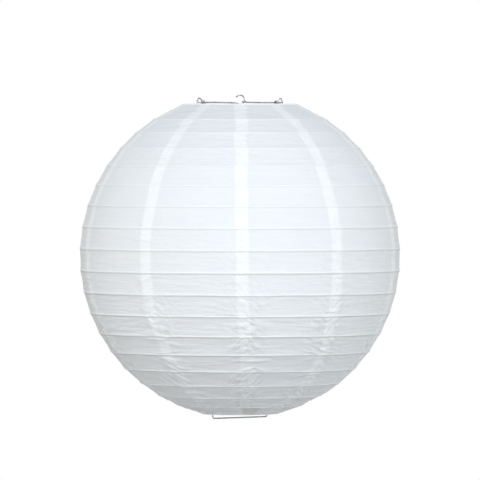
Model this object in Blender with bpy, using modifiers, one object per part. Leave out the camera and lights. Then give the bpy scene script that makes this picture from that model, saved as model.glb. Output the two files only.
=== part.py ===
"""Round paper lantern: wire rings, paper bands between them, and a hanging wire expander.

Metres, +Z up. The origin is the inside top of the hanging loop, where a cord or hook
carries the lantern. The crossbar of the expander lies along X, and every ring is centred
on the Z axis, along which the shell folds up.
"""
import math

import bpy
from mathutils import Matrix, Vector

# Shell: rings on an ellipse turned about Z, with a smaller wire ring at each opening.
SHELL_DIAMETER = 0.350
SHELL_HALF_HEIGHT = 0.177
RIB_COUNT = 17
FIRST_RIB_LATITUDE = math.radians(57.2)
LAST_RIB_LATITUDE = math.radians(-67.3)
TOP_RING_RADIUS = 0.0625
BOTTOM_RING_RADIUS = 0.041
RIM_WIRE_DIAMETER = 0.0016
RIB_WIRE_DIAMETER = 0.0010
PAPER_THICKNESS = 0.0002
FACETS_ROUND = 40
RIM_WIRE_SIDES = 6
RIB_WIRE_SIDES = 4

# Label: a blank slip pasted inside the lowest paper band, two facets wide.
LABEL_FIRST_FACET = 26
LABEL_FACETS = 2
LABEL_HEIGHT = 0.0245
LABEL_ABOVE_RING = 0.0020
LABEL_THICKNESS = 0.0002

# Expander: one bent wire with two legs, coiled at its ends round a two-part crossbar.
WIRE_DIAMETER = 0.0015
CROSSBAR_RISE = 0.0025
LOOP_RADIUS = 0.005
LOOP_RISE = 0.0031
LOOP_TURN = math.radians(-39)
LOOP_START = math.radians(-80)
LOOP_END = math.radians(150)
EYE_LATITUDE = math.radians(-25)
EYE_SPARE = 0.0003
EYE_SWEEP = math.radians(250)
ARM_DIP = 0.0085
COIL_INSET = 0.0085
COIL_TURNS = 2.5
COIL_POINTS = 10
PEAK_INSET = 0.0045
PEAK_RISE = 0.0058
LEG_SETBACK = 0.0008
FOOT_REACH = 0.0014
FOOT_DROP = 0.0026
FOOT_LEAD = 0.0009
FOOT_SLOPE = 0.0100
BOTTOM_BAR_DROP = 0.0053
BOTTOM_BAR_INSET = 0.0017
BEND_RADIUS = 0.0016
FLARE_BEND_RADIUS = 0.006
BEND_STEP = math.radians(22.5)
LOOP_STEP = math.radians(16)

# Fits: the gap kept between pieces that touch, and the spacing of the folded rings.
FIT_GAP = 0.0003
HOOK_SPARE = 0.0001
BAND_SPARE = 0.00015
FOLDED_PITCH = 0.0020
FLARE_MARGIN = 0.006

# Sizes worked out from the ones above.
WIRE_RADIUS = WIRE_DIAMETER / 2
RIM_WIRE_RADIUS = RIM_WIRE_DIAMETER / 2
RIB_WIRE_RADIUS = RIB_WIRE_DIAMETER / 2
LOOP_CENTRE_Z = WIRE_RADIUS - LOOP_RADIUS
CROSSBAR_Z = LOOP_CENTRE_Z - LOOP_RISE
TOP_RING_Z = CROSSBAR_Z - CROSSBAR_RISE
TOP_RING_LATITUDE = math.acos(2 * TOP_RING_RADIUS / SHELL_DIAMETER)
BOTTOM_RING_LATITUDE = -math.acos(2 * BOTTOM_RING_RADIUS / SHELL_DIAMETER)
TOP_RING_RISE = SHELL_HALF_HEIGHT * math.sin(TOP_RING_LATITUDE)
BOTTOM_RING_DROP = -SHELL_HALF_HEIGHT * math.sin(BOTTOM_RING_LATITUDE)
SHELL_CENTRE_Z = TOP_RING_Z - TOP_RING_RISE
BOTTOM_RING_Z = SHELL_CENTRE_Z - BOTTOM_RING_DROP
HOOK_CLEARANCE = RIM_WIRE_RADIUS + FIT_GAP + WIRE_RADIUS
COIL_RADIUS = WIRE_DIAMETER + FIT_GAP
COIL_PITCH = WIRE_DIAMETER + FIT_GAP
COIL_OUTER_X = TOP_RING_RADIUS - COIL_INSET
PEAK_X = TOP_RING_RADIUS - PEAK_INSET

PAPER_WHITE = (0.90, 0.91, 0.93, 1.0)
LABEL_BEIGE = (0.74, 0.70, 0.64, 1.0)
WIRE_GREY = (0.10, 0.10, 0.11, 1.0)
RIB_GREY = (0.55, 0.55, 0.56, 1.0)


def clear_scene():
    for obj in list(bpy.data.objects):
        bpy.data.objects.remove(obj, do_unlink=True)


def make_collection(name):
    collection = bpy.data.collections.new(name)
    bpy.context.scene.collection.children.link(collection)
    return collection


def paint(obj, colour, roughness, metallic):
    """Give an object a Principled material of its own."""
    material = bpy.data.materials.new(obj.name)
    material.use_nodes = True
    shader = material.node_tree.nodes["Principled BSDF"]
    shader.inputs["Base Color"].default_value = colour
    shader.inputs["Roughness"].default_value = roughness
    shader.inputs["Metallic"].default_value = metallic
    obj.data.materials.clear()
    obj.data.materials.append(material)


def add_ring(collection, name, radius, height, wire_radius, sides):
    """A closed wire ring round the Z axis, with its origin at its centre."""
    bpy.ops.mesh.primitive_torus_add(
        major_segments=FACETS_ROUND,
        minor_segments=sides,
        major_radius=radius,
        minor_radius=wire_radius,
        location=(0, 0, height),
    )
    ring = bpy.context.object
    ring.name = name
    ring.data.name = name
    ring.data.shade_smooth()
    for owner in list(ring.users_collection):
        owner.objects.unlink(ring)
    collection.objects.link(ring)
    return ring


def add_strip(collection, name, upper, lower, thickness, first_facet=0, facets=FACETS_ROUND):
    """A thin turned strip of paper from an upper to a lower (radius, height) point."""
    mesh = bpy.data.meshes.new(name)
    points = [(upper[0], 0, 0), (lower[0], 0, lower[1] - upper[1])]
    mesh.from_pydata(points, [(0, 1)], [])
    strip = bpy.data.objects.new(name, mesh)
    facet = 2 * math.pi / FACETS_ROUND
    strip.location = (0, 0, upper[1])
    strip.rotation_euler = (0, 0, first_facet * facet)
    collection.objects.link(strip)
    turn = strip.modifiers.new("turn", "SCREW")
    turn.angle = facets * facet
    turn.steps = facets
    turn.render_steps = facets
    turn.use_merge_vertices = True
    turn.merge_threshold = 0.00001
    turn.use_smooth_shade = True
    wall = strip.modifiers.new("wall", "SOLIDIFY")
    wall.thickness = thickness
    wall.offset = 1
    wall.use_even_offset = True
    return strip


def add_wire(collection, name, points):
    """A bent wire through points, with closed ends."""
    curve = bpy.data.curves.new(name, "CURVE")
    curve.dimensions = "3D"
    curve.bevel_depth = WIRE_RADIUS
    curve.bevel_resolution = 2
    curve.use_fill_caps = True
    spline = curve.splines.new("POLY")
    spline.points.add(len(points) - 1)
    for slot, point in zip(spline.points, points):
        slot.co = (*point, 1)
    wire = bpy.data.objects.new(name, curve)
    collection.objects.link(wire)
    return wire


def rounded(corners, radius=BEND_RADIUS):
    """A path through corners, each (point, radius or None), with its corners made arcs."""
    path = [corners[0][0]]
    for before, corner, after in zip(corners, corners[1:], corners[2:]):
        incoming = (corner[0] - before[0]).normalized()
        outgoing = (after[0] - corner[0]).normalized()
        turn = incoming.angle(outgoing)
        bend = corner[1] or radius
        inward = (outgoing - incoming * math.cos(turn)).normalized()
        start = corner[0] - incoming * bend * math.tan(turn / 2)
        steps = max(2, math.ceil(turn / BEND_STEP))
        for step in range(steps + 1):
            swept = turn * step / steps
            across = inward * bend * (1 - math.cos(swept))
            path.append(start + incoming * bend * math.sin(swept) + across)
    path.append(corners[-1][0])
    return path


def rib_angles():
    step = (LAST_RIB_LATITUDE - FIRST_RIB_LATITUDE) / (RIB_COUNT - 1)
    return [FIRST_RIB_LATITUDE + step * index for index in range(RIB_COUNT)]


def shell_stations():
    """Each ring from top to bottom: (radius, height, outward direction, wire radius)."""
    stations = []
    half_width = SHELL_DIAMETER / 2
    stations.append((TOP_RING_RADIUS, TOP_RING_Z, TOP_RING_LATITUDE, RIM_WIRE_RADIUS))
    for latitude in rib_angles():
        radius = half_width * math.cos(latitude)
        height = SHELL_CENTRE_Z + SHELL_HALF_HEIGHT * math.sin(latitude)
        stations.append((radius, height, latitude, RIB_WIRE_RADIUS))
    stations.append((BOTTOM_RING_RADIUS, BOTTOM_RING_Z, BOTTOM_RING_LATITUDE, RIM_WIRE_RADIUS))
    return stations


def paper_line(upper, lower, inset=0.0):
    """The paper's inner line between two rings, laid over them, inset into the shell."""
    ends = []
    for radius, height, latitude, wire_radius in (upper, lower):
        lift = wire_radius + FIT_GAP - inset
        outward = Vector((math.cos(latitude), math.sin(latitude)))
        ends.append(Vector((radius, height)) + outward * lift)
    along = (ends[1] - ends[0]).normalized()
    return ends[0] + along * BAND_SPARE, ends[1] - along * BAND_SPARE


def build_rings(collection, stations):
    last = len(stations) - 1
    for index, (radius, height, _, wire_radius) in enumerate(stations):
        name = f"rib_ring_{index:02d}"
        sides = RIB_WIRE_SIDES
        colour = RIB_GREY
        if index in (0, last):
            name = "top_ring" if index == 0 else "bottom_ring"
            sides = RIM_WIRE_SIDES
            colour = WIRE_GREY
        ring = add_ring(collection, name, radius, height, wire_radius, sides)
        paint(ring, colour, 0.35, 1.0)


def build_paper(collection, stations):
    for index, (upper, lower) in enumerate(zip(stations, stations[1:]), start=1):
        top, bottom = paper_line(upper, lower)
        band = add_strip(collection, f"paper_band_{index:02d}", top, bottom, PAPER_THICKNESS)
        paint(band, PAPER_WHITE, 0.85, 0.0)


def build_label(collection, stations):
    """The label lies against the inside of the lowest band, just above the bottom ring."""
    inset = FIT_GAP + LABEL_THICKNESS
    top, bottom = paper_line(stations[-2], stations[-1], inset)
    up = (top - bottom).normalized()
    low = bottom + up * LABEL_ABOVE_RING
    high = low + up * LABEL_HEIGHT
    label = add_strip(
        collection, "blank_label", high, low, LABEL_THICKNESS, LABEL_FIRST_FACET, LABEL_FACETS
    )
    paint(label, LABEL_BEIGE, 0.8, 0.0)


def leg_x():
    return BOTTOM_RING_RADIUS - HOOK_CLEARANCE - LEG_SETBACK


def coil_path():
    """The end of the frame wire, wound round the crossbar from its outer end inwards."""
    count = round(COIL_TURNS * COIL_POINTS)
    path = []
    for index in range(count + 1):
        turns = index / COIL_POINTS
        swing = -2 * math.pi * turns
        x = COIL_OUTER_X - COIL_PITCH * turns
        y = COIL_RADIUS * math.cos(swing)
        z = CROSSBAR_Z + COIL_RADIUS * math.sin(swing)
        path.append(Vector((x, y, z)))
    return path


def half_frame_path():
    """The +X half of the frame wire, from the inner end of its coil to its foot."""
    coil = coil_path()
    above_coil = coil[0] + Vector((COIL_PITCH / COIL_POINTS, 0, COIL_RADIUS))
    top_inside = TOP_RING_RADIUS - HOOK_CLEARANCE - HOOK_SPARE
    bottom_inside = BOTTOM_RING_RADIUS - HOOK_CLEARANCE - HOOK_SPARE
    flare_z = TOP_RING_Z - (RIB_COUNT + 1) * FOLDED_PITCH + FLARE_MARGIN
    foot_z = BOTTOM_RING_Z + FOOT_DROP
    corners = [
        (coil[0], None),
        (above_coil, None),
        (Vector((PEAK_X, 0, CROSSBAR_Z + PEAK_RISE)), None),
        (Vector((top_inside, 0, TOP_RING_Z + HOOK_CLEARANCE)), None),
        (Vector((top_inside, 0, TOP_RING_Z - FOOT_DROP + FOOT_LEAD)), None),
        (Vector((TOP_RING_RADIUS + FOOT_REACH, 0, TOP_RING_Z - FOOT_DROP)), None),
        (Vector((leg_x(), 0, flare_z)), FLARE_BEND_RADIUS),
        (Vector((leg_x(), 0, foot_z + FOOT_SLOPE)), FLARE_BEND_RADIUS),
        (Vector((BOTTOM_RING_RADIUS + FOOT_REACH, 0, foot_z)), None),
        (Vector((bottom_inside, 0, foot_z - FOOT_LEAD)), None),
        (Vector((bottom_inside, 0, BOTTOM_RING_Z - RIM_WIRE_RADIUS)), None),
        (Vector((bottom_inside - BOTTOM_BAR_INSET, 0, BOTTOM_RING_Z - BOTTOM_BAR_DROP)), None),
        (Vector((0, 0, BOTTOM_RING_Z - BOTTOM_BAR_DROP)), None),
    ]
    return coil[:0:-1] + rounded(corners)[:-1]


def build_frame(collection):
    """One wire: both halves are alike, turned half a turn about Z."""
    half = half_frame_path()
    turned = [Vector((-point.x, -point.y, point.z)) for point in reversed(half)]
    frame = add_wire(collection, "expander_frame", half + turned)
    paint(frame, WIRE_GREY, 0.3, 1.0)


def loop_point(latitude):
    """A point on the hanging loop, whose plane is turned away from the crossbar."""
    across = LOOP_RADIUS * math.cos(latitude)
    height = LOOP_CENTRE_Z + LOOP_RADIUS * math.sin(latitude)
    return Vector((across * math.cos(LOOP_TURN), across * math.sin(LOOP_TURN), height))


def arm_end_x():
    return TOP_RING_RADIUS - 2 * HOOK_CLEARANCE - FIT_GAP


def build_loop_arm(collection):
    """The arm that dips under the middle and curls up into the open hanging loop."""
    bottom_z = LOOP_CENTRE_Z - LOOP_RADIUS
    path = [
        Vector((-arm_end_x(), 0, CROSSBAR_Z)),
        Vector((-ARM_DIP, 0, CROSSBAR_Z)),
        Vector((-ARM_DIP / 2, 0, (CROSSBAR_Z + bottom_z) / 2)),
        Vector((-WIRE_RADIUS, 0, bottom_z)),
    ]
    steps = round((LOOP_END - LOOP_START) / LOOP_STEP)
    for step in range(steps + 1):
        path.append(loop_point(LOOP_START + (LOOP_END - LOOP_START) * step / steps))
    arm = add_wire(collection, "hanging_loop_arm", path)
    paint(arm, WIRE_GREY, 0.3, 1.0)


def build_eye_arm(collection):
    """The other arm, whose end is an open eye round the side of the hanging loop."""
    eye = loop_point(EYE_LATITUDE)
    eye_radius = WIRE_DIAMETER + FIT_GAP + EYE_SPARE
    steps = round(EYE_SWEEP / BEND_STEP)
    path = []
    for step in range(steps + 1):
        swing = math.pi / 2 + EYE_SWEEP * (1 - step / steps)
        path.append(eye + Vector((math.cos(swing), math.sin(swing), 0)) * eye_radius)
    level = Vector((eye.x + ARM_DIP / 2, path[-1].y / 2, (eye.z + CROSSBAR_Z) / 2))
    path.append(level)
    path.append(Vector((eye.x + ARM_DIP, 0, CROSSBAR_Z)))
    path.append(Vector((arm_end_x(), 0, CROSSBAR_Z)))
    arm = add_wire(collection, "crossbar_eye_arm", path)
    paint(arm, WIRE_GREY, 0.3, 1.0)


def main():
    clear_scene()
    lantern = make_collection("paper_lantern")
    stations = shell_stations()
    build_rings(lantern, stations)
    build_paper(lantern, stations)
    build_label(lantern, stations)
    build_frame(lantern)
    build_loop_arm(lantern)
    build_eye_arm(lantern)


main()
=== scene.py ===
# %% [markdown]
# # A round paper lantern
# A paper lantern is a stack of thin wire hoops with tissue paper pasted over them. It folds
# flat like an accordion, and a bent wire inside, the expander, pushes the two end rings
# apart and holds it open. The CAD frame already has every hoop, band and wire at its real
# size, so this script only makes their fine surfaces and lights them.

# %% Load the frame
import math

import bmesh
import bpy
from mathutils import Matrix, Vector


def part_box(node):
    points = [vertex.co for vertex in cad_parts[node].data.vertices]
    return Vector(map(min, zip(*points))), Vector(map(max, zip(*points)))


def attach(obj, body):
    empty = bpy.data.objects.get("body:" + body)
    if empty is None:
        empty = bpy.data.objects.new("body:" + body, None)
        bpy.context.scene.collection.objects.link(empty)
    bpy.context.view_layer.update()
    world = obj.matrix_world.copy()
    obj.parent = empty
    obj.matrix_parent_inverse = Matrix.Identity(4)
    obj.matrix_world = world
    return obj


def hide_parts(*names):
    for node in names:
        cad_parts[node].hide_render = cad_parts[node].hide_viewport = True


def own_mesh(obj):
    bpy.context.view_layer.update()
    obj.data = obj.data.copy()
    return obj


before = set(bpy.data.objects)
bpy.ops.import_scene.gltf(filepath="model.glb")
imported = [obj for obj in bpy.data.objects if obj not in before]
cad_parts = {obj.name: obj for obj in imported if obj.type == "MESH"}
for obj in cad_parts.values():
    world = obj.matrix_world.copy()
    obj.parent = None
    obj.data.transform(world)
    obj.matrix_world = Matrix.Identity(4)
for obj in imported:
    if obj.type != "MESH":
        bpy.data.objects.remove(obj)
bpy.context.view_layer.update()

# %% [markdown]
# ## Camera, floor and light
# The lantern hangs in white air and is seen from far off, so its level hoops look almost
# like straight lines. A long lens at seven metres gives that view. The floor is a wide pale
# sheet far below the hook, past the edge of the picture. It is painted a little darker for
# the light that it throws back than for the eye, so the lantern's underside stays in shade.

# %% Camera
CAMERA_AZIMUTH = math.radians(-39)
CAMERA_ELEVATION = math.radians(0.9)
CAMERA_DISTANCE = 7.01
CAMERA_LENS = 480
AIM = Vector((0, 0, -0.158))


def direction(bearing, rise):
    """The unit vector from the lantern towards a bearing and a rise."""
    return Vector((
        math.sin(bearing) * math.cos(rise),
        -math.cos(bearing) * math.cos(rise),
        math.sin(rise),
    ))


camera_data = bpy.data.cameras.new("long_lens")
camera_data.lens = CAMERA_LENS
camera_data.sensor_width = 36
camera_data.clip_end = 100
camera = bpy.data.objects.new("camera", camera_data)
bpy.context.scene.collection.objects.link(camera)
backwards = direction(CAMERA_AZIMUTH, CAMERA_ELEVATION)
camera.location = AIM + backwards * CAMERA_DISTANCE
camera.rotation_euler = backwards.to_track_quat("Z", "Y").to_euler()
bpy.context.scene.camera = camera
bpy.context.scene.view_settings.view_transform = "Standard"
print("camera at", [round(v, 2) for v in camera.location])

# %% Helpers that wire nodes together
def put(socket, value, tree):
    """Links a value that is a socket, and sets one that is a number, a colour or a text."""
    if isinstance(value, bpy.types.NodeSocket):
        tree.links.new(value, socket)
    elif value is not None:
        socket.default_value = value


def add(tree, kind, inputs=None, **settings):
    """Adds a node, sets its properties, and fills its inputs by name or by number."""
    node = tree.nodes.new(kind)
    for name, value in settings.items():
        setattr(node, name, value)
    for key, value in (inputs or {}).items():
        put(node.inputs[key], value, tree)
    return node


def calc(tree, operation, *values, clamp=False):
    """One Math node, with numbers or sockets as its values."""
    node = add(tree, "ShaderNodeMath", operation=operation, use_clamp=clamp)
    for socket, value in zip(node.inputs, values):
        put(socket, value, tree)
    return node.outputs[0]


def ramp(tree, value, low, high, to_low=0.0, to_high=1.0):
    """A smooth step of a value from to_low at low to to_high at high."""
    names = {"Value": value, "From Min": low, "From Max": high, "To Min": to_low, "To Max": to_high}
    return add(tree, "ShaderNodeMapRange", names, interpolation_type="SMOOTHSTEP").outputs[0]


def mix_colour(tree, factor, first, second):
    """A colour between the first, at factor 0, and the second, at factor 1."""
    node = add(tree, "ShaderNodeMix", data_type="RGBA")
    put(node.inputs[0], factor, tree)
    put(node.inputs[6], first, tree)
    put(node.inputs[7], second, tree)
    return node.outputs[2]


def new_socket(tree, name, way, kind="Float", default=None):
    """Gives a group an input or an output."""
    socket = tree.interface.new_socket(name=name, in_out=way, socket_type="NodeSocket" + kind)
    if default is not None:
        socket.default_value = default
    return socket


print("node helpers ready")

# %% Floor, sky and lamps
FLOOR_DROP = 2.4
FLOOR_SIZE = 50
FLOOR_BOUNCE = (0.62, 0.60, 0.57, 1)
FLOOR_SEEN = (0.96, 0.96, 0.95, 1)


def make_floor():
    """A wide sheet that is brighter to the camera than to the light it throws back."""
    bpy.ops.mesh.primitive_plane_add(size=FLOOR_SIZE, location=(0, 0, -FLOOR_DROP))
    floor = bpy.context.object
    floor.name = "pale_floor"
    material = bpy.data.materials.new("pale_floor")
    material.use_nodes = True
    tree = material.node_tree
    shader = tree.nodes["Principled BSDF"]
    seen = add(tree, "ShaderNodeLightPath").outputs["Is Camera Ray"]
    put(shader.inputs["Base Color"], mix_colour(tree, seen, FLOOR_BOUNCE, FLOOR_SEEN), tree)
    shader.inputs["Roughness"].default_value = 0.9
    floor.data.materials.append(material)


SKY_HIGH = (0.25, 0.30, 0.34, 1)
SKY_LEVEL = (1.44, 1.40, 1.28, 1)
SKY_LOW = (0.05, 0.05, 0.05, 1)
# Each row: name, bearing from the camera, rise, distance, size, power, colour.
SOFTBOXES = (
    ("key", -15, 35, 3.2, 1.6, 55, (0.98, 1, 1)),
    ("front", 0, 5, 3.6, 1.6, 6.5, (0.98, 1, 1.05)),
    ("right", 70, 5, 3.0, 1.6, 19, (0.95, 1, 1.02)),
    ("low_front", 0, -32, 3.6, 1.6, 28, (0.93, 1, 1.08)),
    ("low_left", -75, -30, 3.0, 1.4, 3, (1, 0.6, 0.35)),
    ("back", 180, 15, 3.6, 1.8, 28, (1, 1, 1)),
)


def make_sky():
    """White to the eye, and a soft dome for light: warm when level, cool above, dim below."""
    world = bpy.data.worlds.new("white_studio")
    bpy.context.scene.world = world
    world.use_nodes = True
    tree = world.node_tree
    tree.nodes.clear()
    place = add(tree, "ShaderNodeTexCoord")
    split = add(tree, "ShaderNodeSeparateXYZ", {0: place.outputs["Generated"]})
    low = ramp(tree, split.outputs[2], -0.75, 0.05)
    high = ramp(tree, split.outputs[2], 0.0, 0.9)
    dome = mix_colour(tree, low, SKY_LOW, SKY_LEVEL)
    dome = mix_colour(tree, high, dome, SKY_HIGH)
    seen = add(tree, "ShaderNodeLightPath").outputs["Is Camera Ray"]
    shown = mix_colour(tree, seen, dome, (1, 1, 1, 1))
    background = add(tree, "ShaderNodeBackground", {"Color": shown, "Strength": 1.0})
    output = add(tree, "ShaderNodeOutputWorld")
    tree.links.new(background.outputs[0], output.inputs[0])


def add_lamp(name, azimuth, elevation, distance, size, power, colour):
    """A square softbox that faces the lantern, placed by its bearing from the camera's."""
    towards = direction(CAMERA_AZIMUTH + math.radians(azimuth), math.radians(elevation))
    data = bpy.data.lights.new(name, "AREA")
    data.size = size
    data.energy = power
    data.color = colour
    lamp = bpy.data.objects.new(name, data)
    lamp.location = AIM + towards * distance
    lamp.rotation_euler = towards.to_track_quat("Z", "Y").to_euler()
    lamp.visible_camera = False
    bpy.context.scene.collection.objects.link(lamp)


make_floor()
make_sky()
for softbox in SOFTBOXES:
    add_lamp(*softbox)

# %% [markdown]
# ## Where the hoops are
# Each hoop's radius and height come from its box in the frame. The direction in which the
# paper bulges over a hoop is square to the line between its two neighbours.

# %% Read the hoops
RIM_WIRE_RADIUS = 0.0008
RIB_WIRE_RADIUS = 0.0005
hoop_nodes = ["top_ring"]
hoop_nodes += sorted(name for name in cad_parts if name.startswith("rib_ring"))
hoop_nodes += ["bottom_ring"]
LAST = len(hoop_nodes) - 1


def read_hoop(node, wire_radius):
    """A hoop's middle radius and height, from the box of its node."""
    low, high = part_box(node)
    return {"node": node, "wire": wire_radius, "radius": high[0] - wire_radius,
            "height": (low[2] + high[2]) / 2}


hoops = []
for number, node in enumerate(hoop_nodes):
    is_rim = number in (0, LAST)
    hoops.append(read_hoop(node, RIM_WIRE_RADIUS if is_rim else RIB_WIRE_RADIUS))
for number, hoop in enumerate(hoops):
    above = hoops[max(number - 1, 0)]
    below = hoops[min(number + 1, LAST)]
    hoop["lean"] = math.atan2(below["radius"] - above["radius"], above["height"] - below["height"])
bodies = ["expander"] + [f"rib_{n:02d}" for n in range(1, LAST)] + ["bottom_rim"]
print("hoops:", len(hoops), "widest:", round(max(h["radius"] for h in hoops) * 2, 4))

# %% [markdown]
# ## Tissue paper
# The paper is thin, matt and slightly translucent. A single layer lets light into the dark
# inside and looks a little grey and blue; where two gores are pasted over each other, or
# the paper is folded round the top ring, it is whiter. The pasted overlaps and the crinkles
# have a node group each. The crinkles are on every piece of paper, and the overlaps on the
# shell alone, whose own shader also paints a highlight and a line of shade along each hoop.

# %% Shader groups for paper
GORE_COUNT = 10
GORE_START = 15.6 / 360
GORE_TWIST = 3.5 / 360
OVERLAP_WIDTH = 0.0135
EDGE_SOFTNESS = 0.0016
EDGE_RAGGED = 0.0022
EDGE_SCALE = 110.0
PATCH_SCALE = 60.0
PUCKER_REACH = 0.030
PUCKER_CORE = 0.004


def new_group(name, inputs, outputs):
    tree = bpy.data.node_groups.new(name, "ShaderNodeTree")
    for label, kind, default in inputs:
        new_socket(tree, label, "INPUT", kind, default)
    for label, kind in outputs:
        new_socket(tree, label, "OUTPUT", kind)
    return tree, tree.nodes.new("NodeGroupInput"), tree.nodes.new("NodeGroupOutput")


def noise_value(tree, place, scale, detail=2.0, rough=0.5):
    return add(tree, "ShaderNodeTexNoise", {
        "Vector": place, "Scale": scale, "Detail": detail, "Roughness": rough,
    }).outputs[0]


def make_overlap_group():
    """How much of a pasted joint a point lies on, from its distance to the joint's middle."""
    tree, given, result = new_group(
        "gore_overlap",
        [("Away", "Float", 0.05), ("Width", "Float", OVERLAP_WIDTH)],
        [("Overlap", "Float"), ("Near", "Float")],
    )
    place = add(tree, "ShaderNodeTexCoord").outputs["Object"]
    ragged = calc(tree, "SUBTRACT", noise_value(tree, place, EDGE_SCALE, 3.0), 0.5)
    away = calc(tree, "MULTIPLY_ADD", ragged, EDGE_RAGGED, given.outputs["Away"])
    half = calc(tree, "MULTIPLY", given.outputs["Width"], 0.5)
    overlap = ramp(tree, calc(tree, "SUBTRACT", away, half), EDGE_SOFTNESS, -EDGE_SOFTNESS)
    patchy = ramp(tree, noise_value(tree, place, PATCH_SCALE, 3.0), 0.25, 0.6, 0.6, 1.0)
    tree.links.new(calc(tree, "MULTIPLY", overlap, patchy), result.inputs["Overlap"])
    near = ramp(tree, given.outputs["Away"], PUCKER_REACH, PUCKER_CORE)
    tree.links.new(near, result.inputs["Near"])
    return tree


STREAK_STRETCH = 9.0
STREAK_SCALE = 30.0
FIBRE_STRETCH = 5.0
FIBRE_SCALE = 170.0
FIBRE_SEED = 3.1
PUCKER_SCALE = 190.0
STREAKS_FROM = -0.10
STREAKS_FULL = -0.26


def stretched_noise(tree, place, stretch, scale, detail, rough, seed=0.0):
    """Noise drawn out along the level directions, as the paper is pulled between hoops."""
    moved = add(tree, "ShaderNodeMapping", {"Vector": place, "Scale": (1.0, 1.0, stretch),
                                            "Location": (seed, seed * 0.7, seed * 1.3)})
    return add(tree, "ShaderNodeTexNoise", {
        "Vector": moved.outputs[0], "Scale": scale, "Detail": detail, "Roughness": rough,
    }).outputs[0]


def make_crinkle_group():
    """Level streaks, fine fibres, and small puckers near the pasted overlaps."""
    tree, given, result = new_group(
        "paper_crinkle",
        [("Near", "Float", 0.0)],
        [("Height", "Float"), ("Tone", "Float")],
    )
    place = add(tree, "ShaderNodeTexCoord").outputs["Object"]
    height = add(tree, "ShaderNodeSeparateXYZ", {0: place}).outputs[2]
    level = stretched_noise(tree, place, STREAK_STRETCH, STREAK_SCALE, 4.0, 0.62)
    fibre = stretched_noise(tree, place, FIBRE_STRETCH, FIBRE_SCALE, 3.0, 0.6, FIBRE_SEED)
    pucker = noise_value(tree, place, PUCKER_SCALE, 3.0)
    low = ramp(tree, height, STREAKS_FROM, STREAKS_FULL, 0.75, 1.0)
    near = calc(tree, "MULTIPLY", given.outputs["Near"], calc(tree, "MULTIPLY", pucker, 0.7))
    bumps = calc(tree, "MULTIPLY_ADD", fibre, 0.28, calc(tree, "MULTIPLY", level, low))
    tone = calc(tree, "ADD", calc(tree, "MULTIPLY", level, 0.6), calc(tree, "MULTIPLY", fibre, 0.4))
    tree.links.new(calc(tree, "ADD", bumps, near), result.inputs["Height"])
    tree.links.new(tone, result.inputs["Tone"])
    return tree


overlap_group = make_overlap_group()
crinkle_group = make_crinkle_group()
print("shader groups:", overlap_group.name, crinkle_group.name)

# %% [markdown]
# The paper's colour comes from how thick the paper is at each point, with a painted
# highlight and painted shade along each hoop and painted shade behind the label. The wall is
# mostly a matt white reflector, with a share of light let through, so a Principled shader
# is mixed with a Translucent one.

# %% Paper materials
SINGLE_LAYER = (0.79, 0.815, 0.86, 1)
DOUBLE_LAYER = (0.895, 0.925, 0.955, 1)
PASTE_AND_HIGHLIGHT = (0.90, 0.93, 0.96, 1)
THROUGH_SHADE = (0.60, 0.61, 0.63, 1)
SLIP_SHADE = (0.60, 0.575, 0.54, 1)
LET_THROUGH = 0.22
OVERLAP_SHARE = 0.72
LOW_OVERLAP_SHARE = 0.38
SLIP_SHARE = 0.42
PASTE_AND_HIGHLIGHT_SHARE = 0.7
SHADE_OUTER = 0.0028
SHADE_FULL = 0.0011
SHADE_CORE = 0.0009
SHADE_INNER = 0.0003
LINE_BELOW = (0.0007, 0.0001)
LINE_ABOVE = (0.0013, 0.0003)
PAPER_ROUGHNESS = 0.88
PAPER_SHEEN = 0.25
TONE_FROM = 0.3
TONE_TO = 0.7
SHELL_CRINKLE = 1.0
PLAIN_CRINKLE = 0.3
CRINKLE_DEPTH = 0.0012


def attribute(tree, name):
    return add(tree, "ShaderNodeAttribute", attribute_name=name).outputs["Fac"]


def paper_shader(material, colour, height, strength, let_through):
    """Mixes the matt and the translucent part of a paper, and wires them to the output."""
    tree = material.node_tree
    output = tree.nodes["Material Output"]
    matt = tree.nodes["Principled BSDF"]
    matt.inputs["Roughness"].default_value = PAPER_ROUGHNESS
    matt.inputs["Specular IOR Level"].default_value = PAPER_SHEEN
    bump = add(tree, "ShaderNodeBump", {
        "Strength": strength, "Distance": CRINKLE_DEPTH, "Height": height,
    })
    tree.links.new(colour, matt.inputs["Base Color"])
    tree.links.new(bump.outputs[0], matt.inputs["Normal"])
    glow = add(tree, "ShaderNodeBsdfTranslucent", {"Color": colour})
    both = add(tree, "ShaderNodeMixShader", {0: let_through, 1: matt.outputs[0], 2: glow.outputs[0]})
    tree.links.new(both.outputs[0], output.inputs["Surface"])


def new_material(name):
    material = bpy.data.materials.new(name)
    material.use_nodes = True
    return material


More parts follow.
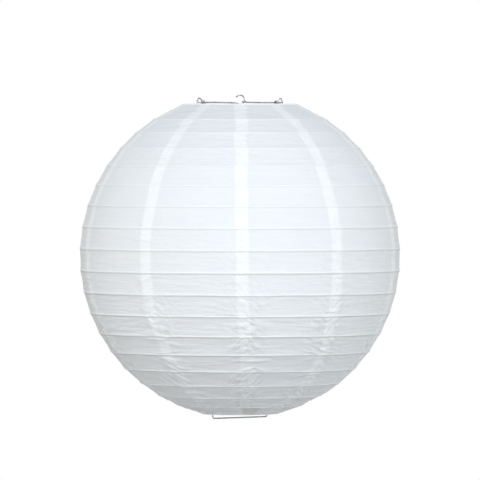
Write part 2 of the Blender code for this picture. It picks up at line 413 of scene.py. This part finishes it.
def make_band_paper():
    """The paper of the shell: one layer, doubled on the overlaps, with a painted highlight and painted
    shade along the hoops.
    """
    material = new_material("shell_paper")
    tree = material.node_tree
    overlap = add(tree, "ShaderNodeGroup", node_tree=overlap_group)
    put(overlap.inputs["Away"], attribute(tree, "seam_away"), tree)
    crinkle = add(tree, "ShaderNodeGroup", node_tree=crinkle_group)
    put(crinkle.inputs["Near"], overlap.outputs["Near"], tree)
    tone = ramp(tree, crinkle.outputs["Tone"], TONE_FROM, TONE_TO, -0.06, 0.14)
    place = add(tree, "ShaderNodeTexCoord").outputs["Object"]
    height = add(tree, "ShaderNodeSeparateXYZ", {0: place}).outputs[2]
    share = ramp(tree, height, -0.33, -0.20, LOW_OVERLAP_SHARE, OVERLAP_SHARE)
    layers = calc(tree, "MULTIPLY", overlap.outputs["Overlap"], share)
    layers = calc(tree, "ADD", layers, tone, clamp=True)
    colour = mix_colour(tree, layers, SINGLE_LAYER, DOUBLE_LAYER)
    # Painted shade where the label lies behind the paper: darker and warmer, for the label's own
    # colour seen through the paper and for the shade it casts on the light let through from inside.
    slip = calc(tree, "MULTIPLY", attribute(tree, "slip"), SLIP_SHARE)
    colour = mix_colour(tree, slip, colour, SLIP_SHADE)
    under = attribute(tree, "under_hoop")
    over = attribute(tree, "over_hoop")
    # Painted shade just under each hoop: the wire's shade seen through the paper, painted stronger
    # lower down, where the paper faces the floor.
    shade = ramp(tree, under, SHADE_OUTER, SHADE_FULL)
    shade = calc(tree, "MULTIPLY", shade, ramp(tree, under, SHADE_INNER, SHADE_CORE))
    shade = calc(tree, "MULTIPLY", shade, ramp(tree, height, -0.08, -0.22, 0.12, 0.62))
    colour = mix_colour(tree, shade, colour, THROUGH_SHADE)
    # A light strip along each hoop: the paste there, and a painted highlight on the paper's ridge over
    # the wire.
    below_wire = ramp(tree, under, *LINE_BELOW)
    above_wire = ramp(tree, over, *LINE_ABOVE)
    line = calc(tree, "MAXIMUM", below_wire, above_wire)
    colour = mix_colour(tree, calc(tree, "MULTIPLY", line, PASTE_AND_HIGHLIGHT_SHARE), colour, PASTE_AND_HIGHLIGHT)
    paper_shader(material, colour, crinkle.outputs["Height"], SHELL_CRINKLE, LET_THROUGH)
    return material


def make_plain_paper(name, low, high, let_through):
    """A doubled or heavier slip of paper with the same crinkle."""
    material = new_material(name)
    tree = material.node_tree
    crinkle = add(tree, "ShaderNodeGroup", node_tree=crinkle_group)
    tone = ramp(tree, crinkle.outputs["Tone"], TONE_FROM, TONE_TO)
    colour = mix_colour(tree, tone, low, high)
    paper_shader(material, colour, crinkle.outputs["Height"], PLAIN_CRINKLE, let_through)
    return material


shell_paper = make_band_paper()
hem_paper = make_plain_paper("hem_paper", (0.90, 0.91, 0.92, 1), (0.95, 0.95, 0.96, 1), 0.1)
slip_paper = make_plain_paper("slip_paper", (0.60, 0.57, 0.52, 1), (0.66, 0.63, 0.58, 1), 0.02)
print("papers:", shell_paper.name, hem_paper.name, slip_paper.name)

# %% [markdown]
# ## Drawn steel wire
# All the wires are plain drawn steel: grey, fairly smooth, with fine drawing lines and a
# little tarnish. One shader group gives that finish, and each wire has its own tint.

# %% Wire materials
SPOT_SCALE = 160.0
LINE_SCALE = 900.0
LINE_DEPTH = 0.0001


def make_wire_group():
    """Drawn steel: its colour, its roughness and its fine lines."""
    tree, given, result = new_group(
        "drawn_wire",
        [("Clean", "Color", (0.5, 0.5, 0.5, 1)), ("Tarnish", "Color", (0.2, 0.2, 0.2, 1)),
         ("Grain", "Float", LINE_SCALE)],
        [("Colour", "Color"), ("Roughness", "Float"), ("Height", "Float")],
    )
    place = add(tree, "ShaderNodeTexCoord").outputs["Object"]
    spots = noise_value(tree, place, SPOT_SCALE, 4.0)
    lines = noise_value(tree, place, given.outputs["Grain"])
    worn = ramp(tree, spots, 0.48, 0.72)
    colour = mix_colour(tree, worn, given.outputs["Clean"], given.outputs["Tarnish"])
    rough = calc(tree, "MULTIPLY_ADD", lines, 0.1, ramp(tree, spots, 0.3, 0.8, 0.24, 0.46))
    tree.links.new(colour, result.inputs["Colour"])
    tree.links.new(rough, result.inputs["Roughness"])
    tree.links.new(lines, result.inputs["Height"])
    return tree


wire_group = make_wire_group()


def make_wire(name, clean, tarnish):
    """A steel finish with its own clean and tarnished colour."""
    material = new_material(name)
    tree = material.node_tree
    finish = add(tree, "ShaderNodeGroup", {"Clean": clean, "Tarnish": tarnish}, node_tree=wire_group)
    shader = tree.nodes["Principled BSDF"]
    shader.inputs["Metallic"].default_value = 1.0
    bump = add(tree, "ShaderNodeBump", {"Strength": 0.15, "Distance": LINE_DEPTH,
                                        "Height": finish.outputs["Height"]})
    tree.links.new(finish.outputs["Colour"], shader.inputs["Base Color"])
    tree.links.new(finish.outputs["Roughness"], shader.inputs["Roughness"])
    tree.links.new(bump.outputs[0], shader.inputs["Normal"])
    return material


expander_steel = make_wire("expander_steel", (0.44, 0.47, 0.50, 1), (0.22, 0.22, 0.23, 1))
rim_steel = make_wire("rim_steel", (0.36, 0.36, 0.37, 1), (0.17, 0.16, 0.15, 1))
rib_steel = make_wire("rib_steel", (0.55, 0.55, 0.56, 1), (0.33, 0.32, 0.31, 1))
print("wires:", expander_steel.name, rim_steel.name, rib_steel.name)

# %% [markdown]
# ## Growing a piece from a node tree
# A hoop and a band of paper follow a rule, so each kind is one Geometry Nodes tree with its
# sizes as named inputs. The helper below puts the tree on an empty mesh, sets the inputs,
# and keeps the result as a plain mesh.

# %% Geometry node helpers
def new_geometry_tree(name, inputs):
    tree = bpy.data.node_groups.new(name, "GeometryNodeTree")
    new_socket(tree, "Geometry", "OUTPUT", "Geometry")
    for label, kind, default in inputs:
        new_socket(tree, label, "INPUT", kind, default)
    return tree, tree.nodes.new("NodeGroupInput").outputs


def close_tree(tree, geometry, material):
    """The usual end: smooth faces, one material, no instances."""
    smooth = add(tree, "GeometryNodeSetShadeSmooth", {"Geometry": geometry})
    real = add(tree, "GeometryNodeRealizeInstances", {"Geometry": smooth.outputs[0]})
    painted = add(tree, "GeometryNodeSetMaterial", {"Geometry": real.outputs[0], "Material": material})
    output = tree.nodes.new("NodeGroupOutput")
    tree.links.new(painted.outputs[0], output.inputs["Geometry"])


def result_of(piece):
    """What a piece's modifiers make, as a new plain mesh."""
    graph = bpy.context.evaluated_depsgraph_get()
    return bpy.data.meshes.new_from_object(
        piece.evaluated_get(graph), preserve_all_data_layers=True, depsgraph=graph
    )


def keep_result(piece):
    """Applies every modifier of a piece."""
    mesh = result_of(piece)
    piece.modifiers.clear()
    piece.data = mesh


def grow(tree, name, values):
    """Runs a tree with these inputs and keeps what it makes as a plain mesh object."""
    host = bpy.data.objects.new(name + "_seed", bpy.data.meshes.new(name + "_seed"))
    bpy.context.scene.collection.objects.link(host)
    modifier = host.modifiers.new("grow", "NODES")
    modifier.node_group = tree
    for item in tree.interface.items_tree:
        if item.in_out == "INPUT" and item.name in values:
            modifier[item.identifier] = values[item.name]
    mesh = result_of(host)
    bpy.data.objects.remove(host, do_unlink=True)
    mesh.name = name
    piece = bpy.data.objects.new(name, mesh)
    bpy.context.scene.collection.objects.link(piece)
    return piece


print("geometry helpers ready")

# %% [markdown]
# ## Wire hoops
# A hoop is a thin circle swept round a large one. All nineteen share one tree; only their
# radius, height, wire size and finish differ.

# %% Hoops
HOOP_SEGMENTS = 160
RIM_SIDES = 12
RIB_SIDES = 8


def make_hoop_tree():
    """A wire hoop, from its two radii, its height and its finish."""
    tree, given = new_geometry_tree("wire_hoop", [
        ("Hoop Radius", "Float", 0.1), ("Wire Radius", "Float", 0.0005), ("Height", "Float", 0.0),
        ("Segments", "Int", HOOP_SEGMENTS), ("Sides", "Int", RIB_SIDES),
        ("Finish", "Material", None),
    ])
    path = add(tree, "GeometryNodeCurvePrimitiveCircle", {
        "Resolution": given["Segments"], "Radius": given["Hoop Radius"],
    })
    section = add(tree, "GeometryNodeCurvePrimitiveCircle", {
        "Resolution": given["Sides"], "Radius": given["Wire Radius"],
    })
    swept = add(tree, "GeometryNodeCurveToMesh", {
        "Curve": path.outputs[0], "Profile Curve": section.outputs[0],
    })
    lift = add(tree, "ShaderNodeCombineXYZ", {2: given["Height"]})
    placed = add(tree, "GeometryNodeTransform", {
        "Geometry": swept.outputs[0], "Translation": lift.outputs[0],
    })
    close_tree(tree, placed.outputs[0], given["Finish"])
    return tree


hoop_tree = make_hoop_tree()
for number, hoop in enumerate(hoops):
    is_rim = number in (0, LAST)
    piece = grow(hoop_tree, hoop["node"].replace("ring", "hoop"), {
        "Hoop Radius": hoop["radius"], "Wire Radius": hoop["wire"], "Height": hoop["height"],
        "Segments": HOOP_SEGMENTS, "Sides": RIM_SIDES if is_rim else RIB_SIDES,
        "Finish": rim_steel if is_rim else rib_steel,
    })
    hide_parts(hoop["node"])
    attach(piece, bodies[number])

# %% [markdown]
# ## Bands of paper
# Between two hoops the paper is pulled straight, sinks in a little, and rises to a crisp
# ridge over each wire. One tree makes a band: a flat grid is bent round the axis, and each
# point is moved out or in along the shell's outward direction by the ridge, the hollow and
# the crinkle. The rows are closer together near the hoops, where the ridge turns sharply.

# %% Places on a band
SMOOTH_COLUMNS = 360
CREASED_COLUMNS = 720
ROWS = 28
ROW_CROWDING = 0.86
TWIST_FROM = -0.19
TWIST_FULL = -0.34
TURN = 2 * math.pi


def bend_grid(tree, given):
    """Grid columns become turns round the axis, and rows go down the slope of the band."""
    at = add(tree, "GeometryNodeInputPosition").outputs[0]
    flat = add(tree, "ShaderNodeSeparateXYZ", {0: at})
    turns = calc(tree, "ADD", flat.outputs[0], 0.5)
    row = calc(tree, "SUBTRACT", 0.5, flat.outputs[1])
    wave = calc(tree, "SINE", calc(tree, "MULTIPLY", row, TURN))
    down = calc(tree, "SUBTRACT", row, calc(tree, "MULTIPLY", wave, ROW_CROWDING / TURN))
    place = {"turns": turns, "down": down, "angle": calc(tree, "MULTIPLY", turns, TURN)}
    for label in ("Radius", "Height", "Lean"):
        step = calc(tree, "SUBTRACT", given["Lower " + label], given["Upper " + label])
        place[label] = calc(tree, "MULTIPLY_ADD", step, down, given["Upper " + label])
    place["under"] = calc(tree, "MULTIPLY", down, given["Length"])
    place["over"] = calc(tree, "SUBTRACT", given["Length"], place["under"])
    share = calc(tree, "MULTIPLY", down, calc(tree, "SUBTRACT", 1.0, down))
    place["middle"] = calc(tree, "MULTIPLY", share, 4.0)
    place["east"] = calc(tree, "COSINE", place["angle"])
    place["north"] = calc(tree, "SINE", place["angle"])
    return place


def find_seam(tree, given, place):
    """The nearest pasted joint: which one it is, and how far round from its middle."""
    low = ramp(tree, place["Height"], TWIST_FROM, TWIST_FULL)
    turns = calc(tree, "SUBTRACT", place["turns"], calc(tree, "MULTIPLY", low, GORE_TWIST))
    gores = calc(tree, "MULTIPLY", calc(tree, "SUBTRACT", turns, GORE_START), float(GORE_COUNT))
    nearest = calc(tree, "FLOOR", calc(tree, "ADD", gores, 0.5))
    part = calc(tree, "MULTIPLY", calc(tree, "SUBTRACT", gores, nearest), TURN / GORE_COUNT)
    number = calc(tree, "FLOORED_MODULO", nearest, float(GORE_COUNT))
    key = add(tree, "ShaderNodeCombineXYZ", {0: number, 1: given["Seed"], 2: 0.5})
    chance = add(tree, "ShaderNodeTexWhiteNoise", {"Vector": key.outputs[0]}, noise_dimensions="3D")
    picks = add(tree, "ShaderNodeSeparateXYZ", {0: chance.outputs["Color"]})
    wander = calc(tree, "MULTIPLY", calc(tree, "SUBTRACT", picks.outputs[2], 0.5), SEAM_WANDER)
    across = calc(tree, "MULTIPLY_ADD", part, place["Radius"], wander)
    return {"across": across, "number": number, "picks": picks.outputs}


print("columns:", SMOOTH_COLUMNS, "to", CREASED_COLUMNS, "rows:", ROWS)

# %% [markdown]
# The paper isn't even. It carries long level crinkles, and in the lower half it is slack
# beside each pasted joint, where it falls into slanting folds. Each joint picks its own
# slant in each band, and some folds turn over at the joint to make a V.

# %% How the paper rises and sinks
RIDGE_WIDTH = 0.0012
RIDGE_SHARE = 0.62
UPPER_HOLLOW = 0.0001
LOWER_HOLLOW = 0.0006
CRINKLE = 0.00042
WRINKLE = 0.0009
FOLD = 0.0015
FOLD_REACH = 0.019
FOLD_WANDER = 0.016
FOLD_SLANT = 1.5
FOLD_ACROSS = 125.0
FOLD_ALONG = 26.0
FOLD_SHARP = 0.12
V_CHANCE = 0.55
WRINKLE_ROUND = 26.0
WRINKLE_DOWN = 190.0
WRINKLE_LEAN = 0.020
WRINKLE_SHARP = 0.11
WRINKLE_REACH = 0.035
SEAM_WANDER = 0.0022
SEED_STEP = 7.3
WRINKLE_SEED_STEP = 5.1
JOINT_SEED_STEP = 3.7
# Each crinkle: how finely it runs round the band, how finely down it, and its detail.
LEVEL_CRINKLE = (16.0, 260.0, 2.0)
SMALL_CRINKLE = (90.0, 120.0, 2.0)
LEAN_CRINKLE = (13.0, 30.0, 1.0)
PATCH_CRINKLE = (9.0, 25.0, 2.0)


def ridge(tree, distance, lift):
    """The paper rises over a hoop in a narrow crest, and stands off it a little elsewhere."""
    share = calc(tree, "POWER", calc(tree, "DIVIDE", distance, RIDGE_WIDTH), 2.0)
    crest = calc(tree, "EXPONENT", calc(tree, "MULTIPLY", share, -1.0))
    height = calc(tree, "MULTIPLY_ADD", crest, RIDGE_SHARE, 1.0 - RIDGE_SHARE)
    return calc(tree, "MULTIPLY", height, lift)


def crinkles(tree, given, place, round_scale, down_scale, detail):
    """Noise from -0.5 to 0.5 that closes on itself round the band."""
    out = calc(tree, "MULTIPLY", place["Radius"], round_scale)
    shift = calc(tree, "MULTIPLY", given["Seed"], SEED_STEP)
    where = add(tree, "ShaderNodeCombineXYZ", {
        0: calc(tree, "MULTIPLY", place["east"], out),
        1: calc(tree, "MULTIPLY", place["north"], out),
        2: calc(tree, "MULTIPLY_ADD", place["under"], down_scale, shift),
    })
    return calc(tree, "SUBTRACT", noise_value(tree, where.outputs[0], 1.0, detail), 0.5)


def crease(tree, value, width):
    """A sharp line along the places where a noise crosses its middle."""
    return ramp(tree, calc(tree, "ABSOLUTE", calc(tree, "SUBTRACT", value, 0.5)), width, 0.0)


def bell(tree, distance, reach):
    """A soft hump, 1 where the distance is 0, that dies away over the reach."""
    share = calc(tree, "POWER", calc(tree, "DIVIDE", calc(tree, "ABSOLUTE", distance), reach), 2.0)
    return calc(tree, "EXPONENT", calc(tree, "MULTIPLY", share, -1.0))


def folds(tree, given, place, seam):
    """Slanting creases beside a joint, from 0 to about 1."""
    first, second, third = seam["picks"]
    centre = calc(tree, "MULTIPLY", calc(tree, "SUBTRACT", second, 0.5), FOLD_WANDER)
    aside = calc(tree, "SUBTRACT", seam["across"], centre)
    turned = calc(tree, "ABSOLUTE", aside)
    is_v = calc(tree, "GREATER_THAN", third, 1.0 - V_CHANCE)
    bent = calc(tree, "MULTIPLY_ADD", calc(tree, "SUBTRACT", turned, aside), is_v, aside)
    slant = ramp(tree, first, 0.0, 1.0, -FOLD_SLANT, FOLD_SLANT)
    square = calc(tree, "MULTIPLY_ADD", bent, slant, place["under"])
    along = calc(tree, "SUBTRACT", bent, calc(tree, "MULTIPLY", place["under"], slant))
    where = add(tree, "ShaderNodeCombineXYZ", {
        0: calc(tree, "MULTIPLY", square, FOLD_ACROSS),
        1: calc(tree, "MULTIPLY", along, FOLD_ALONG),
        2: calc(tree, "MULTIPLY_ADD", seam["number"], JOINT_SEED_STEP, given["Seed"]),
    })
    value = noise_value(tree, where.outputs[0], 1.0, 0.8)
    sharp = crease(tree, value, FOLD_SHARP)
    window = bell(tree, aside, FOLD_REACH)
    return calc(tree, "MULTIPLY", calc(tree, "MULTIPLY", sharp, window), given["Slack"])


def wrinkles(tree, given, place, seam):
    """Sharp near-level lines that lean up and down, strongest beside the joints."""
    out = calc(tree, "MULTIPLY", place["Radius"], WRINKLE_ROUND)
    lean = crinkles(tree, given, place, *LEAN_CRINKLE)
    under = calc(tree, "MULTIPLY_ADD", lean, WRINKLE_LEAN, place["under"])
    shift = calc(tree, "MULTIPLY", given["Seed"], WRINKLE_SEED_STEP)
    where = add(tree, "ShaderNodeCombineXYZ", {
        0: calc(tree, "MULTIPLY", place["east"], out),
        1: calc(tree, "MULTIPLY", place["north"], out),
        2: calc(tree, "MULTIPLY_ADD", under, WRINKLE_DOWN, shift),
    })
    sharp = crease(tree, noise_value(tree, where.outputs[0], 1.0, 1.2), WRINKLE_SHARP)
    patchy = ramp(tree, crinkles(tree, given, place, *PATCH_CRINKLE), -0.02, 0.16, 0.15, 1.0)
    near = calc(tree, "MULTIPLY_ADD", bell(tree, seam["across"], WRINKLE_REACH), 0.75, 0.25)
    sharp = calc(tree, "MULTIPLY", calc(tree, "MULTIPLY", sharp, patchy), near)
    return calc(tree, "MULTIPLY", sharp, given["Slack"])


print("paper shape: ridge", RIDGE_WIDTH * 1000, "mm wide, folds up to", FOLD * 1000, "mm")

# %% The band tree
BAND_INPUTS = [
    ("Upper Radius", "Float", 0.1), ("Upper Height", "Float", 0.0), ("Upper Lean", "Float", 0.0),
    ("Upper Lift", "Float", 0.0008), ("Lower Radius", "Float", 0.1), ("Lower Height", "Float", 0.0),
    ("Lower Lean", "Float", 0.0), ("Lower Lift", "Float", 0.0008), ("Length", "Float", 0.024),
    ("Hollow", "Float", UPPER_HOLLOW), ("Slack", "Float", 0.0), ("Line Drop", "Float", 0.0),
    ("Slip", "Float", 0.0), ("Columns", "Int", SMOOTH_COLUMNS), ("Seed", "Float", 0.0),
    ("Paper", "Material", None),
]
SLIP_TURNS = (234 / 360, 252 / 360)
SLIP_UNDER = (0.0015, 0.0262)
SLIP_SOFTNESS = 0.0006
SAME_POINT = 0.00001


def paper_rise(tree, given, place, seam):
    """How far out the paper stands from the straight line between its two hoops."""
    down = place["down"]
    upper = ridge(tree, place["under"], given["Upper Lift"])
    lower = ridge(tree, place["over"], given["Lower Lift"])
    upper = calc(tree, "MULTIPLY", upper, calc(tree, "SUBTRACT", 1.0, down))
    ridges = calc(tree, "MULTIPLY_ADD", lower, down, upper)
    level = crinkles(tree, given, place, *LEVEL_CRINKLE)
    small = crinkles(tree, given, place, *SMALL_CRINKLE)
    uneven = calc(tree, "ADD", level, calc(tree, "MULTIPLY", small, 0.5))
    uneven = calc(tree, "MULTIPLY", uneven, CRINKLE * 2)
    creased = calc(tree, "MULTIPLY", folds(tree, given, place, seam), FOLD)
    creased = calc(tree, "MULTIPLY_ADD", wrinkles(tree, given, place, seam), WRINKLE, creased)
    edge = calc(tree, "SQRT", calc(tree, "MAXIMUM", place["middle"], 0.0))
    loose = calc(tree, "MULTIPLY", calc(tree, "ADD", uneven, creased), edge)
    sunk = calc(tree, "MULTIPLY", given["Hollow"], place["middle"])
    return calc(tree, "ADD", ridges, calc(tree, "SUBTRACT", loose, sunk))


def slip_mask(tree, given, place):
    """1 where the slip is pasted behind the paper."""
    soft = SLIP_SOFTNESS
    left = ramp(tree, place["turns"], SLIP_TURNS[0] - soft, SLIP_TURNS[0] + soft)
    right = ramp(tree, place["turns"], SLIP_TURNS[1] + soft, SLIP_TURNS[1] - soft)
    top = ramp(tree, place["under"], SLIP_UNDER[0] - soft, SLIP_UNDER[0] + soft)
    base = ramp(tree, place["under"], SLIP_UNDER[1] + soft, SLIP_UNDER[1] - soft)
    inside = given["Slip"]
    for side in (left, right, top, base):
        inside = calc(tree, "MULTIPLY", inside, side)
    return inside


def make_band_tree():
    """One band of paper, from the two hoops it is pasted to."""
    tree, given = new_geometry_tree("paper_band", BAND_INPUTS)
    grid = add(tree, "GeometryNodeMeshGrid", {
        "Size X": 1.0, "Size Y": 1.0, "Vertices X": given["Columns"], "Vertices Y": ROWS + 1,
    })
    place = bend_grid(tree, given)
    seam = find_seam(tree, given, place)
    out = paper_rise(tree, given, place, seam)
    radius = calc(tree, "MULTIPLY_ADD", out, calc(tree, "COSINE", place["Lean"]), place["Radius"])
    height = calc(tree, "MULTIPLY_ADD", out, calc(tree, "SINE", place["Lean"]), place["Height"])
    point = add(tree, "ShaderNodeCombineXYZ", {
        0: calc(tree, "MULTIPLY", radius, place["east"]),
        1: calc(tree, "MULTIPLY", radius, place["north"]), 2: height,
    })
    marks = {
        "under_hoop": calc(tree, "SUBTRACT", place["under"], given["Line Drop"]),
        "over_hoop": place["over"],
        "seam_away": calc(tree, "ABSOLUTE", seam["across"]),
        "slip": slip_mask(tree, given, place),
    }
    geometry = grid.outputs["Mesh"]
    for label, value in marks.items():
        store = add(tree, "GeometryNodeStoreNamedAttribute", {"Geometry": geometry, "Name": label},
                    data_type="FLOAT", domain="POINT")
        put(store.inputs["Value"], value, tree)
        geometry = store.outputs[0]
    bent = add(tree, "GeometryNodeSetPosition", {"Geometry": geometry, "Position": point.outputs[0]})
    joined = add(tree, "GeometryNodeMergeByDistance", {
        "Geometry": bent.outputs[0], "Distance": SAME_POINT,
    })
    close_tree(tree, joined.outputs[0], given["Paper"])
    return tree


band_tree = make_band_tree()
print("band tree nodes:", len(band_tree.nodes))

# %% Paste a band between each pair of hoops
PAPER_THICKNESS = 0.00012
PASTE_GAP = 0.0002
# How far below the top hem the first band's painted highlight and painted shade line start.
RIM_LINE_DROP = 0.0022
LEAST_SLACK = 0.22
SLACK_FROM = 0.42
SLACK_OVER = 0.3
TIGHT_FROM = 0.8
TIGHT_SHARE = 0.25


def thicken(piece, thickness):
    """Gives a sheet its real wall, laid outwards on its face."""
    wall = piece.modifiers.new("wall", "SOLIDIFY")
    wall.thickness = thickness
    wall.offset = 1
    wall.use_even_offset = True
    keep_result(piece)


def folds_with(piece, number):
    """Attaches the piece to the body of the hoop above it, with a mesh of its own."""
    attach(piece, bodies[number - 1])
    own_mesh(piece)


def make_band(number):
    """The band between one hoop and the next, attached to the body of the upper one."""
    above = hoops[number - 1]
    below = hoops[number]
    drop = above["height"] - below["height"]
    length = math.hypot(drop, below["radius"] - above["radius"])
    lowness = number / LAST
    slack = min(1.0, max(0.0, (lowness - SLACK_FROM) / SLACK_OVER))
    slack *= 1 - TIGHT_SHARE * max(0.0, (lowness - TIGHT_FROM) / (1 - TIGHT_FROM))
    piece = grow(band_tree, f"shell_paper_{number:02d}", {
        "Upper Radius": above["radius"], "Upper Height": above["height"], "Upper Lean": above["lean"],
        "Upper Lift": above["wire"] + PASTE_GAP,
        "Lower Radius": below["radius"], "Lower Height": below["height"], "Lower Lean": below["lean"],
        "Lower Lift": below["wire"] + PASTE_GAP,
        "Length": length, "Hollow": UPPER_HOLLOW + (LOWER_HOLLOW - UPPER_HOLLOW) * lowness,
        "Slack": LEAST_SLACK + (1 - LEAST_SLACK) * slack,
        "Columns": 1 + (CREASED_COLUMNS if slack > 0 else SMOOTH_COLUMNS),
        "Line Drop": RIM_LINE_DROP if number == 1 else 0.0,
        "Slip": 1.0 if number == LAST else 0.0, "Seed": float(number), "Paper": shell_paper,
    })
    thicken(piece, PAPER_THICKNESS)
    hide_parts(f"paper_band_{number:02d}")
    folds_with(piece, number)
    return piece


bands = [make_band(number) for number in range(1, LAST + 1)]
print("bands:", len(bands), "faces each:", len(bands[0].data.polygons))

# %% [markdown]
# ## Hems and label
# The paper is folded round each end ring and pasted back inside. A hem is a short strip
# turned about the axis, with a profile that runs round the wire. The label is a blank slip
# pasted inside the lowest band.

# %% Turned strips
def turn_profile(name, profile, material, start=0.0, sweep=TURN, steps=160):
    """Turns a line of (radius, height) points about the Z axis, and closes a whole turn."""
    mesh = bpy.data.meshes.new(name)
    work = bmesh.new()
    is_whole = sweep == TURN
    columns = steps if is_whole else steps + 1
    rings = []
    for step in range(columns):
        angle = start + sweep * step / steps
        rings.append([
            work.verts.new((r * math.cos(angle), r * math.sin(angle), z)) for r, z in profile
        ])
    if is_whole:
        rings.append(rings[0])
    for first, second in zip(rings, rings[1:]):
        for row in range(len(profile) - 1):
            face = work.faces.new((first[row], first[row + 1], second[row + 1], second[row]))
            face.smooth = True
    work.to_mesh(mesh)
    work.free()
    mesh.materials.append(material)
    piece = bpy.data.objects.new(name, mesh)
    bpy.context.scene.collection.objects.link(piece)
    return piece


HEM_TAIL = 0.0080
HEM_TAIL_OUT = 0.0001
HEM_LIFT = 0.00008
HEM_THICKNESS = 0.0001
HEM_STEPS = 12
HEM_START = 8


def make_hem(name, hoop, upwards, body):
    """Wraps the ring from the shell side, over its open side and down its inside."""
    lift = hoop["wire"] + HEM_LIFT
    profile = []
    for step in range(HEM_STEPS + 1):
        angle = hoop["lean"] + upwards * math.radians(step * 180 / HEM_STEPS - HEM_START)
        radius = hoop["radius"] + lift * math.cos(angle)
        profile.append((radius, hoop["height"] + lift * math.sin(angle)))
    last = profile[-1]
    profile.append((last[0] + HEM_TAIL_OUT, last[1] - upwards * HEM_TAIL))
    if upwards > 0:
        profile.reverse()
    piece = turn_profile(name, profile, hem_paper)
    thicken(piece, HEM_THICKNESS)
    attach(piece, body)
    return piece


top_hem = make_hem("top_hem", hoops[0], 1, "expander")
bottom_hem = make_hem("bottom_hem", hoops[LAST], -1, "bottom_rim")
print("hems:", len(top_hem.data.polygons), len(bottom_hem.data.polygons))

# %% Label
LABEL_START = SLIP_TURNS[0] * TURN
LABEL_SWEEP = (SLIP_TURNS[1] - SLIP_TURNS[0]) * TURN
LABEL_ROWS = 8
LABEL_COLUMNS = 18
LABEL_SINK = 0.0016
LABEL_LIFT = 0.0003


def make_label():
    """A strip that follows the slope of the lowest band, a little inside it."""
    low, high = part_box("blank_label")
    above = hoops[LAST - 1]
    ring = hoops[LAST]
    slope = (above["radius"] - ring["radius"]) / (above["height"] - ring["height"])
    margin = LABEL_SINK * 0.2
    profile = []
    for row in range(LABEL_ROWS + 1):
        z = high[2] - margin - (high[2] - low[2] - 2 * margin) * row / LABEL_ROWS
        radius = ring["radius"] + (z - ring["height"]) * slope - LABEL_SINK
        profile.append((radius, z + LABEL_LIFT))
    piece = turn_profile("paper_label", profile, slip_paper, LABEL_START, LABEL_SWEEP, LABEL_COLUMNS)
    thicken(piece, PAPER_THICKNESS)
    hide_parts("blank_label")
    folds_with(piece, LAST)
    return piece


label = make_label()
print("label faces:", len(label.data.polygons))

# %% [markdown]
# ## Expander wires
# The bent frame and the two arms of the crossbar already have their exact route in the CAD
# frame. Each is copied, its loose triangles are merged and joined back into quads, and one
# level of subdivision rounds the eight-sided wire, with the cut ends kept crisp. Subdivision
# draws a tube in, so a small push along the normals brings it back to its real thickness.

# %% Expander
WIRE_RADIUS = 0.00075
DRAWN_IN = 1 - (0.75 + 0.25 * math.cos(math.radians(45)))
FLAT_ENOUGH = math.radians(35)
SAME_CORNER = 0.000002
CUT_END = math.radians(65)


def round_wire(node, name, body):
    """A smooth copy of a CAD wire, in its place and at its thickness."""
    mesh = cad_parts[node].data.copy()
    mesh.name = name
    work = bmesh.new()
    work.from_mesh(mesh)
    bmesh.ops.remove_doubles(work, verts=work.verts, dist=SAME_CORNER)
    bmesh.ops.join_triangles(
        work, faces=work.faces, angle_face_threshold=FLAT_ENOUGH, angle_shape_threshold=math.pi
    )
    for face in work.faces:
        face.smooth = True
    crisp = work.edges.layers.float.new("crease_edge")
    for edge in work.edges:
        if edge.calc_face_angle(0.0) > CUT_END:
            edge[crisp] = 1.0
    work.to_mesh(mesh)
    work.free()
    mesh.materials.clear()
    mesh.materials.append(expander_steel)
    piece = bpy.data.objects.new(name, mesh)
    bpy.context.scene.collection.objects.link(piece)
    rounded = piece.modifiers.new("rounded", "SUBSURF")
    rounded.levels = 1
    rounded.render_levels = 1
    push = piece.modifiers.new("push", "DISPLACE")
    push.mid_level = 0.0
    push.strength = WIRE_RADIUS * DRAWN_IN
    keep_result(piece)
    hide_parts(node)
    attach(piece, body)
    return piece


wires = [
    round_wire("expander_frame", "expander_wire_frame", "expander"),
    round_wire("hanging_loop_arm", "loop_arm_wire", "expander"),
    round_wire("crossbar_eye_arm", "eye_arm_wire", "expander"),
]
print("wires:", [len(wire.data.polygons) for wire in wires])
